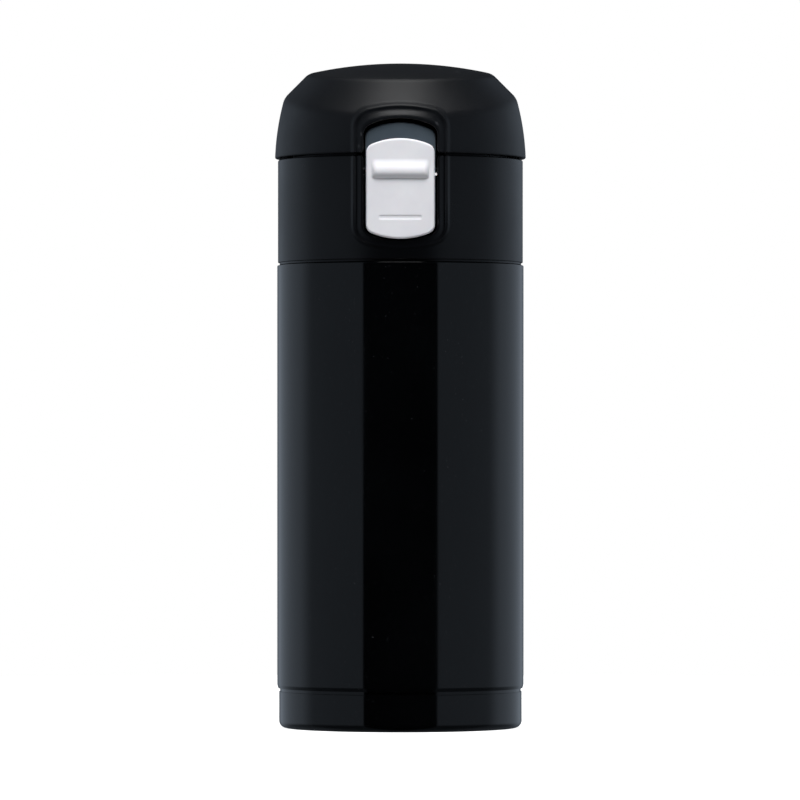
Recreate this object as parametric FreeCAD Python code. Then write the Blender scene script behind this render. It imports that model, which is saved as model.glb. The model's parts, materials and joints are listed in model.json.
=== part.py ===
import FreeCAD, Part
import math
import os

# Slim vacuum flask with a one-touch flip lid.
#
# Origin: the middle of the pad that the flask stands on. +Z runs up the flask's axis. The latch is
# at the front, towards -Y, and the lid's hinge is at the back, towards +Y. Sizes are millimetres.

Vector = FreeCAD.Vector
UP = Vector(0, 0, 1)
ACROSS = Vector(1, 0, 0)
FORWARD = Vector(0, -1, 0)

# --- Driving dimensions -------------------------------------------------------------------------

# Heights of the seams that can be seen from outside
BASE_TOP = 9.7
SHELL_BOTTOM = 10.5
SHELL_TOP = 121.9
COLLAR_BOTTOM = 122.6
COLLAR_TOP = 149.6
LID_BOTTOM = 150.9
CROWN_TOP = 175.2

# Radii of the stacked rings
BODY_RADIUS = 32.5
BASE_RADIUS = 31.9
COLLAR_RADIUS = 32.3
LID_RADIUS = 33.14

# Wall thicknesses
STEEL = 0.5
LINER_STEEL = 0.4
PLASTIC = 2.0
FOIL = 0.1

# The double-walled bottle
LINER_RADIUS = 30.2
LINER_FLOOR = 7.0
NECK_RADIUS = 24.0
NECK_GAP = 0.4
NECK_TOP = 137.0
PLATE_BOTTOM = 4.2
SEAL_HOLE = 1.2
GETTER_RADIUS = 4.5
GETTER_HEIGHT = 1.2
GETTER_OFFSET = 14.0
FOIL_HEIGHTS = (14.0, 112.0)
FOOT_RECESS = 0.15
PAD_RADIUS = 26.0
PAD_THICKNESS = 1.1
GRIP_GROOVES = (12.0, 20.0)
GRIP_WIDTH = 1.2
GRIP_DEPTH = 0.4
CUP_WALL = 0.8

# The screw thread between the neck and the collar
THREAD_PITCH = 4.0
THREAD_HEIGHT = 0.8
THREAD_ROOT = 1.5
THREAD_CREST = 0.6
THREAD_CLEARANCE = 0.25
NECK_THREAD_START = 126.0
NECK_THREAD_TURNS = 1.5
COLLAR_THREAD_TURNS = 1.25

# The collar's sleeve, deck and the ring that stands up inside the lid
SLEEVE_OUTER = 27.0
SLEEVE_BOTTOM = 124.0
SEAT_HEIGHT = 141.3
SEAT_BORE = 24.0
RING_RADIUS = 28.5
RING_TOP = 153.0

# The drinking spout, and the seals round it
SPOUT_RADIUS = 17.5
SPOUT_TOP = 161.5
SPOUT_WALL = 1.9
SPOUT_SHOULDER = 150.6
FLANGE_THICKNESS = 1.9
STOPPER_RADIUS = 21.0
STOPPER_BOTTOM = 131.0
STOPPER_TOP = 149.0
O_RING_HEIGHT = 145.0
O_RING_WIRE = 0.8
SEAL_BULGE = 1.3
SEAL_THICKNESS = 2.5

# The liner under the lid
LINER_PLATE = 153.4
LINER_RIM = 30.5
LINER_CUP = 19.0
LINER_CUP_TOP = 165.6
LINER_WALL = 1.5
CATCH_FRONT = 27.4
CATCH_HALF = 10.3

# The lid's wall bows in, and its crown is a shallow dome with a wide bevel, tipped to the front
LID_WALL_RADIUS = 67.0
LID_WALL_CENTRE = 147.9
DOME_RADIUS = 100.0
BEVEL_REACH = 196.75
CREASE_ROUNDING = 1.2
CROWN_TIP_DEG = 6.75
CROWN_PIVOT = 171.0

# The latch's outlines from the front: half width, bottom, top, bow of the ends, corner rounding
RECESS = (9.6, 127.2, 159.0, 20.3, 3.0)
FRAME = (13.2, 124.8, 163.9, 40.0, 5.8)
LEVER = (9.15, 128.3, 158.0, 19.8, 2.4)
SLIDE = (8.9, 127.8, 153.8, 19.8, 2.4)

# The latch, in its recess at the front
LATCH_PIN_BACK = 28.8
LATCH_PIN_HEIGHT = 145.5
LATCH_PIN_HALF = 11.3
PIN_RADIUS = 1.0
RUNNING_FIT = 0.05
LEVER_FRONT = 31.35
LEVER_THICKNESS = 1.5
LEVER_BARREL = 1.7
HOOK_TIP = 28.3
HOOK_BOTTOM = 153.4
HOOK_HALF = 5.0
SLIDE_BACK = 31.5
SLIDE_FRONT = 33.0
SLIDE_TRAVEL = 4.0
STEM_BOTTOM = 134.5
STEM_SIZE = 3.0
THUMB_BAR_FRONT = 34.2
THUMB_BAR_HALF = 7.5
THUMB_BAR_HEIGHTS = (144.1, 148.5)
LINE_HALF = 5.45
LINE_HEIGHTS = (132.9, 133.8)
LINE_DEPTH = 0.35
FRAME_HEIGHT = 0.45
LATCH_SPRING_DROP = 14.5
LATCH_SPRING_COIL = 1.7
LATCH_SPRING_WIRE = 0.25

# The hinge, at the back
HINGE_BACK = 33.5
HINGE_HEIGHT = 150.2
KNUCKLE_RADIUS = 2.5
KNUCKLE_CLEARANCE = 0.4
LID_KNUCKLE = (3.6, 7.4)
COLLAR_KNUCKLE = (7.7, 11.5)
SPRING_WIRE = 0.3
SPRING_COIL = 1.6
SPRING_LEG = 5.6
SPRING_TURNS = 7

# Spans that reach past the flask, for the shapes that trim others
ALL_HEIGHTS = (0, 200)
PAST_FRONT = 40.0

# --- Shapes that are used again -----------------------------------------------------------------


def corner_arc(corner, before, after, rounding):
    """The rounded corner between two straight runs: where it starts, its middle and its end."""
    to_before = (before - corner).normalize()
    to_after = (after - corner).normalize()
    half_angle = to_before.getAngle(to_after) / 2
    reach = rounding / math.tan(half_angle)
    towards_centre = (to_before + to_after).normalize()
    to_middle = rounding / math.sin(half_angle) - rounding
    return (
        corner + to_before * reach,
        corner + towards_centre * to_middle,
        corner + to_after * reach,
    )


def outline(corners, closed=True):
    """A wire in the XZ plane through (x, z) or (x, z, rounding) corners."""
    points = [Vector(corner[0], 0, corner[1]) for corner in corners]
    roundings = [corner[2] if len(corner) > 2 else 0 for corner in corners]
    stops = []
    for i, point in enumerate(points):
        if roundings[i]:
            before = points[i - 1]
            after = points[(i + 1) % len(points)]
            stops.append(corner_arc(point, before, after, roundings[i]))
        else:
            stops.append((point,))
    edges = []
    for i, stop in enumerate(stops):
        if len(stop) == 3:
            edges.append(Part.Arc(*stop).toShape())
        last = i == len(stops) - 1
        if last and not closed:
            break
        following = stops[(i + 1) % len(stops)][0]
        if stop[-1].distanceToPoint(following) > 1e-6:
            edges.append(Part.makeLine(stop[-1], following))
    return Part.Wire(edges)


def turned(corners):
    """A solid turned about the flask's axis from a closed (radius, height) outline."""
    return Part.Face(outline(corners)).revolve(Vector(), UP, 360)


def pressed_sheet(corners, thickness):
    """Sheet metal turned about the axis. The outer face runs outwards and up; metal lies inside."""
    section = outline(corners, closed=False).makeOffset2D(thickness, 0, True, True, False)
    return section.revolve(Vector(), UP, 360)


def ring(inner, outer, bottom, top):
    """A plain ring about the flask's axis."""
    return turned([(inner, bottom), (outer, bottom), (outer, top), (inner, top)])


def disc(radius, bottom, top):
    """A plain disc about the flask's axis."""
    return Part.makeCylinder(radius, top - bottom, Vector(0, 0, bottom))


def block(x_range, y_range, z_range):
    """A box between two corners."""
    low = Vector(x_range[0], y_range[0], z_range[0])
    size = Vector(x_range[1], y_range[1], z_range[1]) - low
    return Part.makeBox(size.x, size.y, size.z, low)


def rod(radius, x_from, x_to, y, z):
    """A round bar across the flask, parallel to X."""
    return Part.makeCylinder(radius, x_to - x_from, Vector(x_from, y, z), ACROSS)


def slab(x_from, x_to, side_points):
    """A flat plate of (y, z) outline, between two places across the flask."""
    points = [Vector(x_from, y, z) for y, z in side_points]
    wire = Part.makePolygon(points + points[:1])
    return Part.Face(wire).extrude(ACROSS * (x_to - x_from))


def both_sides(x_range, shape):
    """A shape made at +X, and again at -X."""
    near, far = x_range
    return shape(near, far).fuse(shape(-far, -near))


def helical_ridge(root_radius, crest_radius, start, turns):
    """A screw thread's ridge, wider at its root, its middle starting at a given height."""
    path = Part.makeHelix(THREAD_PITCH, turns * THREAD_PITCH, min(root_radius, crest_radius))
    half_root = THREAD_ROOT / 2
    half_crest = THREAD_CREST / 2
    section = outline([
        (root_radius, -half_root),
        (crest_radius, -half_crest),
        (crest_radius, half_crest),
        (root_radius, half_root),
    ])
    ridge = path.makePipeShell([section], True, True)
    ridge.translate(UP * start)
    return Part.Solid(ridge) if ridge.ShapeType == "Shell" else ridge


def coil(radius, wire, pitch, turns):
    """A coil spring about Z, rising from the origin."""
    path = Part.makeHelix(pitch, turns * pitch, radius)
    section = Part.Wire(Part.Circle(Vector(radius, 0, 0), Vector(0, 1, 0), wire).toShape())
    return path.makePipeShell([section], True, True)


# --- Barrel outlines, seen from the front -------------------------------------------------------


def bowed_end(half_width, tip, direction, bow, rounding):
    """One end of a barrel outline, right half: end of the side, corner's middle, shoulder, tip.

    The direction is +1 at the top end and -1 at the bottom end.
    """
    inset = half_width - rounding
    rise = direction * math.sqrt((bow - rounding) ** 2 - inset ** 2)
    centre = Vector(inset, 0, tip - direction * bow + rise)
    outward = Vector(1, 0, 0)
    to_shoulder = Vector(inset, 0, rise).normalize()
    middle = (outward + to_shoulder).normalize()
    return (
        centre + outward * rounding,
        centre + middle * rounding,
        centre + to_shoulder * rounding,
        Vector(0, 0, tip),
    )


def barrel_outline(half_width, bottom, top, bow, rounding):
    """Straight sides, and ends bowed out on a radius with rounded corners, seen from the front."""
    low = bowed_end(half_width, bottom, -1, bow, rounding)
    high = bowed_end(half_width, top, 1, bow, rounding)
    low_left = [Vector(-point.x, 0, point.z) for point in low]
    high_left = [Vector(-point.x, 0, point.z) for point in high]
    edges = [
        Part.Arc(low_left[2], low[3], low[2]),
        Part.Arc(low[2], low[1], low[0]),
        Part.LineSegment(low[0], high[0]),
        Part.Arc(high[0], high[1], high[2]),
        Part.Arc(high[2], high[3], high_left[2]),
        Part.Arc(high_left[2], high_left[1], high_left[0]),
        Part.LineSegment(high_left[0], low_left[0]),
        Part.Arc(low_left[0], low_left[1], low_left[2]),
    ]
    return Part.Wire([edge.toShape() for edge in edges])


def front_prism(wire):
    """Everything in front of the axis that lies behind an outline seen from the front."""
    return Part.Face(wire).extrude(FORWARD * PAST_FRONT)


# --- The bottle ---------------------------------------------------------------------------------


def outer_shell():
    shell = pressed_sheet([
        (BODY_RADIUS, SHELL_BOTTOM),
        (BODY_RADIUS, SHELL_TOP, 0.9),
        (NECK_RADIUS + 2.0, SHELL_TOP, 0.8),
        (NECK_RADIUS, SHELL_TOP + 1.5, 0.8),
        (NECK_RADIUS, NECK_TOP),
    ], STEEL)
    thread = helical_ridge(
        NECK_RADIUS - STEEL / 2, NECK_RADIUS + THREAD_HEIGHT, NECK_THREAD_START, NECK_THREAD_TURNS
    )
    return shell.fuse(thread)


def inner_flask():
    neck = NECK_RADIUS - STEEL - NECK_GAP
    shoulder = SHELL_TOP - 4.5
    return pressed_sheet([
        (0, LINER_FLOOR),
        (LINER_RADIUS, LINER_FLOOR, 5.0),
        (LINER_RADIUS, shoulder, 4.0),
        (neck, shoulder + 4.0, 2.5),
        (neck, NECK_TOP),
        (NECK_RADIUS, NECK_TOP),
    ], LINER_STEEL)


def outer_bottom():
    """The dished plate that closes the vacuum, joggled out to meet the shell's wall."""
    shell_bore = BODY_RADIUS - STEEL
    dish = BASE_RADIUS - CUP_WALL - 0.05
    plate = pressed_sheet([
        (0, PLATE_BOTTOM),
        (dish, PLATE_BOTTOM, 3.0),
        (dish, SHELL_BOTTOM + 1.8),
        (shell_bore, SHELL_BOTTOM + 3.0),
        (shell_bore, SHELL_BOTTOM + 7.0),
    ], STEEL)
    return plate.cut(disc(SEAL_HOLE, 0, LINER_FLOOR))


def vacuum_seal():
    """The bead that plugs the evacuation hole."""
    bead = SEAL_HOLE + 1.0
    return turned([
        (0, PLATE_BOTTOM - 1.0),
        (bead, PLATE_BOTTOM - 0.7, 0.3),
        (bead, PLATE_BOTTOM),
        (SEAL_HOLE, PLATE_BOTTOM),
        (SEAL_HOLE, PLATE_BOTTOM + STEEL),
        (0, PLATE_BOTTOM + STEEL),
    ])


def getter():
    """The pill that soaks up stray gas, fixed inside the vacuum."""
    floor = PLATE_BOTTOM + STEEL
    pill = disc(GETTER_RADIUS, floor, floor + GETTER_HEIGHT)
    pill.translate(ACROSS * GETTER_OFFSET)
    return pill


def radiation_foil():
    inside = LINER_RADIUS + 0.25
    return ring(inside, inside + FOIL, *FOIL_HEIGHTS)


def base_cup():
    """The cup under the body, with a spigot up inside the body's wall and a recess for the pad."""
    inside = BASE_RADIUS - CUP_WALL
    spigot = BASE_RADIUS - 0.15
    spigot_top = BASE_TOP + 2.2
    recess = PAD_RADIUS + 0.1
    return turned([
        (0, PAD_THICKNESS),
        (recess, PAD_THICKNESS),
        (recess, FOOT_RECESS, 0.2),
        (BASE_RADIUS, FOOT_RECESS, 2.2),
        (BASE_RADIUS, BASE_TOP, 0.3),
        (spigot, BASE_TOP),
        (spigot, spigot_top),
        (inside, spigot_top),
        (inside, PAD_THICKNESS + CUP_WALL, 1.5),
        (0, PAD_THICKNESS + CUP_WALL),
    ])


def base_pad():
    """The soft disc it stands on, with two shallow grip grooves."""
    pad = turned([
        (0, 0),
        (PAD_RADIUS, 0, 0.4),
        (PAD_RADIUS, PAD_THICKNESS),
        (0, PAD_THICKNESS),
    ])
    for radius in GRIP_GROOVES:
        pad = pad.cut(ring(radius, radius + GRIP_WIDTH, -GRIP_DEPTH, GRIP_DEPTH))
    return pad


# --- The cap unit -------------------------------------------------------------------------------


def sleeve_bore():
    """The threaded bore's wall radius, clear of the neck's thread."""
    return NECK_RADIUS + THREAD_HEIGHT + THREAD_CLEARANCE


def knuckles(x_range, radius=KNUCKLE_RADIUS):
    return both_sides(x_range, lambda a, b: rod(radius, a, b, HINGE_BACK, HINGE_HEIGHT))


def knuckle_room():
    """The space that the hinge's knuckles turn in."""
    half = COLLAR_KNUCKLE[1] + 0.3
    return rod(KNUCKLE_RADIUS + KNUCKLE_CLEARANCE, -half, half, HINGE_BACK, HINGE_HEIGHT)


def spring_slot(side, edge):
    """Room for a leg of the hinge spring, in the collar at -X or in the lid at +X."""
    middle = side * spring_length() / 2
    depth = SPRING_LEG - 0.2
    heights = sorted((edge + side * depth, edge - side))
    return block((middle - 0.5, middle + 0.5), (31.4, 34), heights)


def collar_profile():
    bore = sleeve_bore()
    deck_underside = COLLAR_TOP - 2.2
    inner_wall = COLLAR_RADIUS - PLASTIC
    return [
        (inner_wall, COLLAR_BOTTOM - 0.5),
        (COLLAR_RADIUS - 0.6, COLLAR_BOTTOM - 0.5),
        (COLLAR_RADIUS - 0.6, COLLAR_BOTTOM),
        (COLLAR_RADIUS, COLLAR_BOTTOM, 0.4),
        (COLLAR_RADIUS, COLLAR_TOP, 0.5),
        (RING_RADIUS, COLLAR_TOP),
        (RING_RADIUS, RING_TOP, 0.5),
        (SLEEVE_OUTER, RING_TOP, 0.3),
        (SLEEVE_OUTER, COLLAR_TOP),
        (SEAT_BORE, COLLAR_TOP, 0.3),
        (SEAT_BORE, SEAT_HEIGHT),
        (bore, SEAT_HEIGHT),
        (bore, SLEEVE_BOTTOM, 0.3),
        (SLEEVE_OUTER, SLEEVE_BOTTOM, 0.3),
        (SLEEVE_OUTER, deck_underside, 1.0),
        (inner_wall, deck_underside, 1.0),
    ]


def pocket_housing():
    """The walls around the latch's recess, from the sleeve out to the collar's wall."""
    side = RECESS[0] + PLASTIC
    bottom = RECESS[1] - 1.8
    walls = ring(SLEEVE_OUTER - 0.5, COLLAR_RADIUS - PLASTIC / 2, bottom, COLLAR_TOP - 1.0)
    return walls.common(block((-side, side), (-PAST_FRONT, 0), ALL_HEIGHTS))


def collar_frame():
    """The raised frame's lower part, on the collar."""
    skin = ring(COLLAR_RADIUS - 1, COLLAR_RADIUS + FRAME_HEIGHT, COLLAR_BOTTOM + 1, COLLAR_TOP)
    return skin.common(front_prism(barrel_outline(*FRAME)))


def collar_thread():
    bore = sleeve_bore()
    start = NECK_THREAD_START - THREAD_ROOT - THREAD_CLEARANCE
    return helical_ridge(bore + 0.4, bore - THREAD_HEIGHT, start, COLLAR_THREAD_TURNS)


def hinge_lug(x_from, x_to):
    """One of the collar's webs under its knuckles."""
    return slab(x_from, x_to, [
        (29.0, COLLAR_TOP - 0.4),
        (29.0, COLLAR_TOP - 7.6),
        (29.8, COLLAR_TOP - 7.6),
        (HINGE_BACK + KNUCKLE_RADIUS, HINGE_HEIGHT),
        (HINGE_BACK, HINGE_HEIGHT),
    ])


def collar():
    body = turned(collar_profile()).fuse([pocket_housing(), collar_frame()])
    recess = front_prism(barrel_outline(*RECESS)).cut(disc(SLEEVE_OUTER, *ALL_HEIGHTS))
    catch_half = CATCH_HALF + 0.5
    catch_room = block((-catch_half, catch_half), (-34, -23.5), (COLLAR_TOP, RING_TOP + 1))
    body = body.cut([recess, catch_room, knuckle_room(), spring_slot(-1, COLLAR_TOP)])
    lugs = both_sides(COLLAR_KNUCKLE, hinge_lug).fuse(knuckles(COLLAR_KNUCKLE))
    body = body.fuse([lugs, collar_thread()])
    return body.cut([hinge_pin(), latch_pin()])


def mouthpiece():
    flange = sleeve_bore() - 0.1
    neck = SEAT_BORE - 0.1
    inside = STOPPER_RADIUS - PLASTIC
    groove = neck - 1.5
    spout_bore = SPOUT_RADIUS - SPOUT_WALL
    return turned([
        (inside, STOPPER_BOTTOM, 0.5),
        (STOPPER_RADIUS, STOPPER_BOTTOM, 0.8),
        (STOPPER_RADIUS, SEAT_HEIGHT - FLANGE_THICKNESS),
        (flange, SEAT_HEIGHT - FLANGE_THICKNESS),
        (flange, SEAT_HEIGHT),
        (neck, SEAT_HEIGHT),
        (neck, O_RING_HEIGHT - O_RING_WIRE),
        (groove, O_RING_HEIGHT - O_RING_WIRE),
        (groove, O_RING_HEIGHT + O_RING_WIRE),
        (neck, O_RING_HEIGHT + O_RING_WIRE),
        (neck, SPOUT_SHOULDER, 0.4),
        (SPOUT_RADIUS, SPOUT_SHOULDER + 3.2, 1.5),
        (SPOUT_RADIUS, SPOUT_TOP, 0.8),
        (spout_bore, SPOUT_TOP, 0.8),
        (spout_bore, STOPPER_TOP + 3.6, 1.5),
        (inside, STOPPER_TOP, 1.5),
    ])


def spout_gasket():
    """The O-ring between the mouthpiece and the collar's seat."""
    return Part.makeTorus(SEAT_BORE - O_RING_WIRE, O_RING_WIRE, UP * O_RING_HEIGHT)


def stopper_gasket():
    """The washer that the mouthpiece squeezes on to the bottle's rolled lip."""
    lip = NECK_TOP + LINER_STEEL
    flange = SEAT_HEIGHT - FLANGE_THICKNESS
    inside = STOPPER_RADIUS + 0.1
    outside = NECK_RADIUS + 0.8
    return turned([(inside, lip), (outside, lip, 0.4), (outside, flange, 0.4), (inside, flange)])


def hinge_pin():
    return rod(PIN_RADIUS, -COLLAR_KNUCKLE[1], COLLAR_KNUCKLE[1], HINGE_BACK, HINGE_HEIGHT)


def spring_pitch():
    return 2 * SPRING_WIRE + 0.15


def spring_length():
    return SPRING_TURNS * spring_pitch()


def hinge_spring():
    """The torsion spring that throws the lid open, with one leg down and one leg up."""
    half = spring_length() / 2
    body = coil(SPRING_COIL, SPRING_WIRE, spring_pitch(), SPRING_TURNS)
    body.rotate(Vector(), UP, 90)
    body.rotate(Vector(), Vector(0, 1, 0), 90)
    body.rotate(Vector(), ACROSS, 90)
    body.translate(Vector(-half, HINGE_BACK, HINGE_HEIGHT))
    inner = HINGE_BACK - SPRING_COIL
    lower = Part.makeCylinder(SPRING_WIRE, SPRING_LEG, Vector(-half, inner, HINGE_HEIGHT), UP * -1)
    upper = Part.makeCylinder(SPRING_WIRE, SPRING_LEG, Vector(half, inner, HINGE_HEIGHT), UP)
    return body.fuse([lower, upper])


# --- The lid ------------------------------------------------------------------------------------


def lid_form(grow, bottom=LID_BOTTOM):
    """The lid's outer form, or a form grown from it by a distance all round."""
    wall = LID_WALL_RADIUS + grow
    wall_axis = LID_RADIUS - LID_WALL_RADIUS

    def wall_point(height):
        return Vector(wall_axis + math.sqrt(wall ** 2 - (height - LID_WALL_CENTRE) ** 2), 0, height)

    top = CROWN_TOP + 5
    low = wall_point(bottom)
    high = wall_point(top)
    section = Part.Wire([
        Part.Arc(low, wall_point((bottom + top) / 2), high).toShape(),
        Part.makeLine(high, Vector(0, 0, top)),
        Part.makeLine(Vector(0, 0, top), Vector(0, 0, bottom)),
        Part.makeLine(Vector(0, 0, bottom), low),
    ])
    walls = Part.Face(section).revolve(Vector(), UP, 360)

    dome = DOME_RADIUS + grow
    dome_centre = CROWN_TOP - DOME_RADIUS
    bevel = BEVEL_REACH + grow * math.sqrt(2)
    # The dome z = centre + sqrt(dome^2 - r^2) meets the bevel z = bevel - r
    span = bevel - dome_centre
    crease = (span - math.sqrt(2 * dome ** 2 - span ** 2)) / 2
    crease_point = Vector(crease, 0, bevel - crease)
    mid_point = Vector(crease / 2, 0, dome_centre + math.sqrt(dome ** 2 - crease ** 2 / 4))
    peak = Vector(0, 0, dome_centre + dome)
    edge = Vector(PAST_FRONT, 0, bevel - PAST_FRONT)
    section = Part.Wire([
        Part.Arc(peak, mid_point, crease_point).toShape(),
        Part.makeLine(crease_point, edge),
        Part.makeLine(edge, Vector(PAST_FRONT, 0, 0)),
        Part.makeLine(Vector(PAST_FRONT, 0, 0), Vector()),
        Part.makeLine(Vector(), peak),
    ])
    crown = Part.Face(section).revolve(Vector(), UP, 360)
    rounding = CREASE_ROUNDING + grow
    if rounding > 0:
        crease_edges = [
            edge for edge in crown.Edges
            if edge.BoundBox.ZLength < 1e-3 and abs(edge.BoundBox.XMax - crease) < 1e-3
        ]
        crown = crown.makeFillet(rounding, crease_edges)
    crown.rotate(Vector(0, 0, CROWN_PIVOT), ACROSS, CROWN_TIP_DEG)
    return walls.common(crown)


def lid_lug(x_from, x_to):
    """One of the lid's webs above its knuckles."""
    return slab(x_from, x_to, [
        (30.6, LID_BOTTOM + 0.3),
        (30.6, LID_BOTTOM + 8.1),
        (31.0, LID_BOTTOM + 8.1),
        (HINGE_BACK + KNUCKLE_RADIUS, HINGE_HEIGHT),
        (HINGE_BACK, HINGE_HEIGHT),
    ])


def lid_shell():
    outside = lid_form(0)
    frame = lid_form(FRAME_HEIGHT).common(front_prism(barrel_outline(*FRAME)))
    recess = front_prism(barrel_outline(*RECESS))
    body = outside.fuse(frame).cut([lid_form(-PLASTIC, LID_BOTTOM - 1), recess])
    body = body.cut([knuckle_room(), spring_slot(1, LID_BOTTOM)])
    lugs = both_sides(LID_KNUCKLE, lid_lug).fuse(knuckles(LID_KNUCKLE))
    half = LID_KNUCKLE[1]
    bore = rod(PIN_RADIUS + RUNNING_FIT, -half, half, HINGE_BACK, HINGE_HEIGHT)
    return body.fuse(lugs).cut(bore).removeSplitter()


def lid_inner():
    """The liner under the lid: a plate with a cup over the spout, and the ledge the latch catches."""
    cup_ceiling = LINER_CUP_TOP - 1.6
    plate_top = LINER_PLATE + 1.6
    cup_outer = LINER_CUP + LINER_WALL
    skirt = LINER_RIM - 1.2
    skirt_bottom = LID_BOTTOM + 0.5
    liner = turned([
        (0, cup_ceiling),
        (LINER_CUP, cup_ceiling),
        (LINER_CUP, LINER_PLATE, 0.4),
        (skirt, LINER_PLATE),
        (skirt, skirt_bottom),
        (LINER_RIM, skirt_bottom),
        (LINER_RIM, plate_top),
        (cup_outer, plate_top),
        (cup_outer, LINER_CUP_TOP, 1.0),
        (0, LINER_CUP_TOP),
    ])
    across = (-CATCH_HALF, CATCH_HALF)
    catch_depth = (-CATCH_FRONT, -CATCH_FRONT + 1.2)
    front_space = block(across, (-PAST_FRONT, -CATCH_FRONT), (LID_BOTTOM - 1, RECESS[2] + 3))
    catch_wall = block(across, catch_depth, (LID_BOTTOM + 0.6, RECESS[2] + 1.4))
    ledge_half = HOOK_HALF + 0.5
    ledge_depth = (-CATCH_FRONT - 0.7, -CATCH_FRONT + 0.5)
    ledge = block((-ledge_half, ledge_half), ledge_depth, (HOOK_BOTTOM - 1.8, HOOK_BOTTOM - 0.3))
    return liner.cut([front_space, knuckle_room()]).fuse([catch_wall, ledge]).removeSplitter()


def lid_gasket():
    """The soft seal that closes the spout, bulging a little into its mouth."""
    plug = SPOUT_RADIUS - SPOUT_WALL - 1.0
    rim = LINER_CUP - 0.2
    return turned([
        (0, SPOUT_TOP - SEAL_BULGE),
        (plug - 1.0, SPOUT_TOP - SEAL_BULGE, 0.6),
        (plug, SPOUT_TOP),
        (rim, SPOUT_TOP, 0.5),
        (rim, SPOUT_TOP + SEAL_THICKNESS),
        (0, SPOUT_TOP + SEAL_THICKNESS),
    ])


# --- The latch ----------------------------------------------------------------------------------


def latch_pin():
    return rod(PIN_RADIUS, -LATCH_PIN_HALF, LATCH_PIN_HALF, -LATCH_PIN_BACK, LATCH_PIN_HEIGHT)


def curved_plate(back, front, barrel):
    """A plate that follows the flask's curve, with a barrel outline from the front."""
    return ring(back, front, *ALL_HEIGHTS).common(front_prism(barrel_outline(*barrel)))


def latch_button():
    """The lever that rocks on the latch pin, with its hook at the top."""
    back = LEVER_FRONT - LEVER_THICKNESS
    plate = curved_plate(back, LEVER_FRONT, LEVER)
    half = LEVER[0] - 0.15
    barrel = rod(LEVER_BARREL, -half, half, -LATCH_PIN_BACK, LATCH_PIN_HEIGHT)
    barrel = barrel.common(disc(LEVER_FRONT, *ALL_HEIGHTS))
    root = -LEVER_FRONT + 0.8
    hook = slab(-HOOK_HALF, HOOK_HALF, [
        (root, HOOK_BOTTOM),
        (-HOOK_TIP, HOOK_BOTTOM),
        (-HOOK_TIP, HOOK_BOTTOM + 0.9),
        (root, HOOK_BOTTOM + 3.6),
    ])
    spring_seat = Vector(0, -LEVER_FRONT + 0.65, LATCH_PIN_HEIGHT - LATCH_SPRING_DROP)
    spring_cup = Part.makeCylinder(LATCH_SPRING_COIL + 0.6, 4, spring_seat, FORWARD * -1)
    stem_half = STEM_SIZE / 2 + 0.2
    stem_heights = (STEM_BOTTOM - 0.2, STEM_BOTTOM + STEM_SIZE + SLIDE_TRAVEL + 0.2)
    slot = block((-stem_half, stem_half), (-PAST_FRONT, -SLEEVE_OUTER), stem_heights)
    pin_radius = PIN_RADIUS + RUNNING_FIT
    bore = rod(pin_radius, -LATCH_PIN_HALF, LATCH_PIN_HALF, -LATCH_PIN_BACK, LATCH_PIN_HEIGHT)
    return plate.fuse([barrel, hook]).cut([spring_cup, slot, bore]).removeSplitter()


def latch_spring():
    """The small compression spring that holds the latch shut."""
    turns = 3
    body = coil(LATCH_SPRING_COIL, LATCH_SPRING_WIRE, 1.0, turns)
    body.rotate(Vector(), ACROSS, 90)
    seat = -SLEEVE_OUTER - LATCH_SPRING_WIRE - 0.05
    body.translate(Vector(0, seat, LATCH_PIN_HEIGHT - LATCH_SPRING_DROP))
    return body


def thumb_bar():
    """The bar that a thumb pushes to work the slide."""
    low, high = THUMB_BAR_HEIGHTS
    rounding = 1.4
    bar_outline = outline([
        (-THUMB_BAR_HALF, low, rounding),
        (THUMB_BAR_HALF, low, rounding),
        (THUMB_BAR_HALF, high, rounding),
        (-THUMB_BAR_HALF, high, rounding),
    ])
    return ring(SLIDE_BACK + 0.5, THUMB_BAR_FRONT, *ALL_HEIGHTS).common(front_prism(bar_outline))


def slide_nib():
    """The small detent on the slide's right edge."""
    middle = sum(THUMB_BAR_HEIGHTS) / 2 - 1.3
    back = -SLIDE_BACK + 0.1
    root = SLIDE[0] - 0.4
    return slab(root, SLIDE[0] + 0.55, [
        (back, middle - 0.4),
        (back + 0.8, middle),
        (back, middle + 0.4),
    ])


def lock_slide():
    """The plate that slides up over the latch, with a thumb bar and a stem through the lever."""
    plate = curved_plate(SLIDE_BACK, SLIDE_FRONT, SLIDE)
    half = STEM_SIZE / 2 + 0.05
    stem_top = STEM_BOTTOM + STEM_SIZE
    stem = block((-half, half), (-SLIDE_BACK - 0.5, -29.0), (STEM_BOTTOM, stem_top))
    head = block((-2.7, 2.7), (-29.6, -28.8), (STEM_BOTTOM - 0.5, stem_top + 0.5))
    line = ring(SLIDE_FRONT - LINE_DEPTH, SLIDE_FRONT + 1, *LINE_HEIGHTS)
    line = line.common(block((-LINE_HALF, LINE_HALF), (-PAST_FRONT, 0), ALL_HEIGHTS))
    return plate.fuse([thumb_bar(), stem, head, slide_nib()]).cut(line).removeSplitter()


# --- Writing the parts --------------------------------------------------------------------------

NODES = [
    outer_shell,
    inner_flask,
    outer_bottom,
    vacuum_seal,
    getter,
    radiation_foil,
    base_cup,
    base_pad,
    collar,
    mouthpiece,
    spout_gasket,
    stopper_gasket,
    hinge_pin,
    hinge_spring,
    lid_shell,
    lid_inner,
    lid_gasket,
    latch_pin,
    latch_button,
    latch_spring,
    lock_slide,
]

os.makedirs("parts", exist_ok=True)
for make_node in NODES:
    name = make_node.__name__
    shape = make_node()
    shape.exportStep(f"parts/{name}.step")
    print(name, len(shape.Solids), round(shape.Volume, 1), shape.isValid())
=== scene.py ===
import json
import math

import bmesh
import bpy
import numpy as np
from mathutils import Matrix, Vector
from mathutils.geometry import tessellate_polygon


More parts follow.
